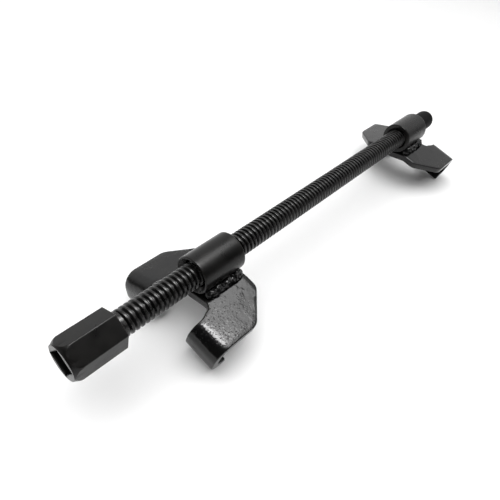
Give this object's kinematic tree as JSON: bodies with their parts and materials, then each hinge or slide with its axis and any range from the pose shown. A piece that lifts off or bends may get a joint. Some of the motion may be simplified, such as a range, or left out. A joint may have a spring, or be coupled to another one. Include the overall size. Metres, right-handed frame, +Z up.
{
  "type": "coil spring compressor",
  "caption": "Screw tool that squeezes a coil spring: a threaded rod with a hexagonal drive head, a sliding hook jaw, a nut hook jaw and an end cap.",
  "frame": {"origin": "centre of the footprint, on the surface that the hook tips stand on", "axes": "+X along the rod from the drive head to the end cap, +Z up, +Y to the left"},
  "size_m": [0.375, 0.0804, 0.0522],
  "materials": {
    "black_oxide": "satin black oxide on turned steel",
    "rod_oxide": "black oxide on rolled thread, oiled",
    "gloss_paint": "gloss black dipped paint with pits and scratches",
    "weld_paint": "gloss black paint over rough weld beads",
    "cap_plastic": "matte black moulded plastic"
  },
  "bodies": {
    "near_jaw": {"near_barrel": "black_oxide", "near_jaw_plate": "gloss_paint", "near_left_weld": "weld_paint", "near_right_weld": "weld_paint"},
    "end_cap": {"end_cap": "cap_plastic"},
    "screw": {"threaded_rod": "rod_oxide", "drive_head": "black_oxide"},
    "far_jaw": {"far_barrel": "black_oxide", "far_jaw_plate": "gloss_paint", "far_left_weld": "weld_paint", "far_right_weld": "weld_paint"}
  },
  "joints": [
    {"name": "rod_slide", "type": "slide", "parent": "near_jaw", "child": "end_cap", "axis": [1, 0, 0], "range_m": [0, 0.051]},
    {"name": "screw_spin", "type": "hinge", "parent": "end_cap", "child": "screw", "pos_m": [0, 0, 0.0402], "axis": [1, 0, 0], "range_deg": [0, 22677]},
    {"name": "far_jaw_travel", "type": "slide", "parent": "end_cap", "child": "far_jaw", "axis": [-1, 0, 0], "range_m": [0, 0.2001]}
  ],
  "couplings": [
    {"joint": "far_jaw_travel", "follows": "screw_spin", "m_per_rad": 0.00050532}
  ]
}
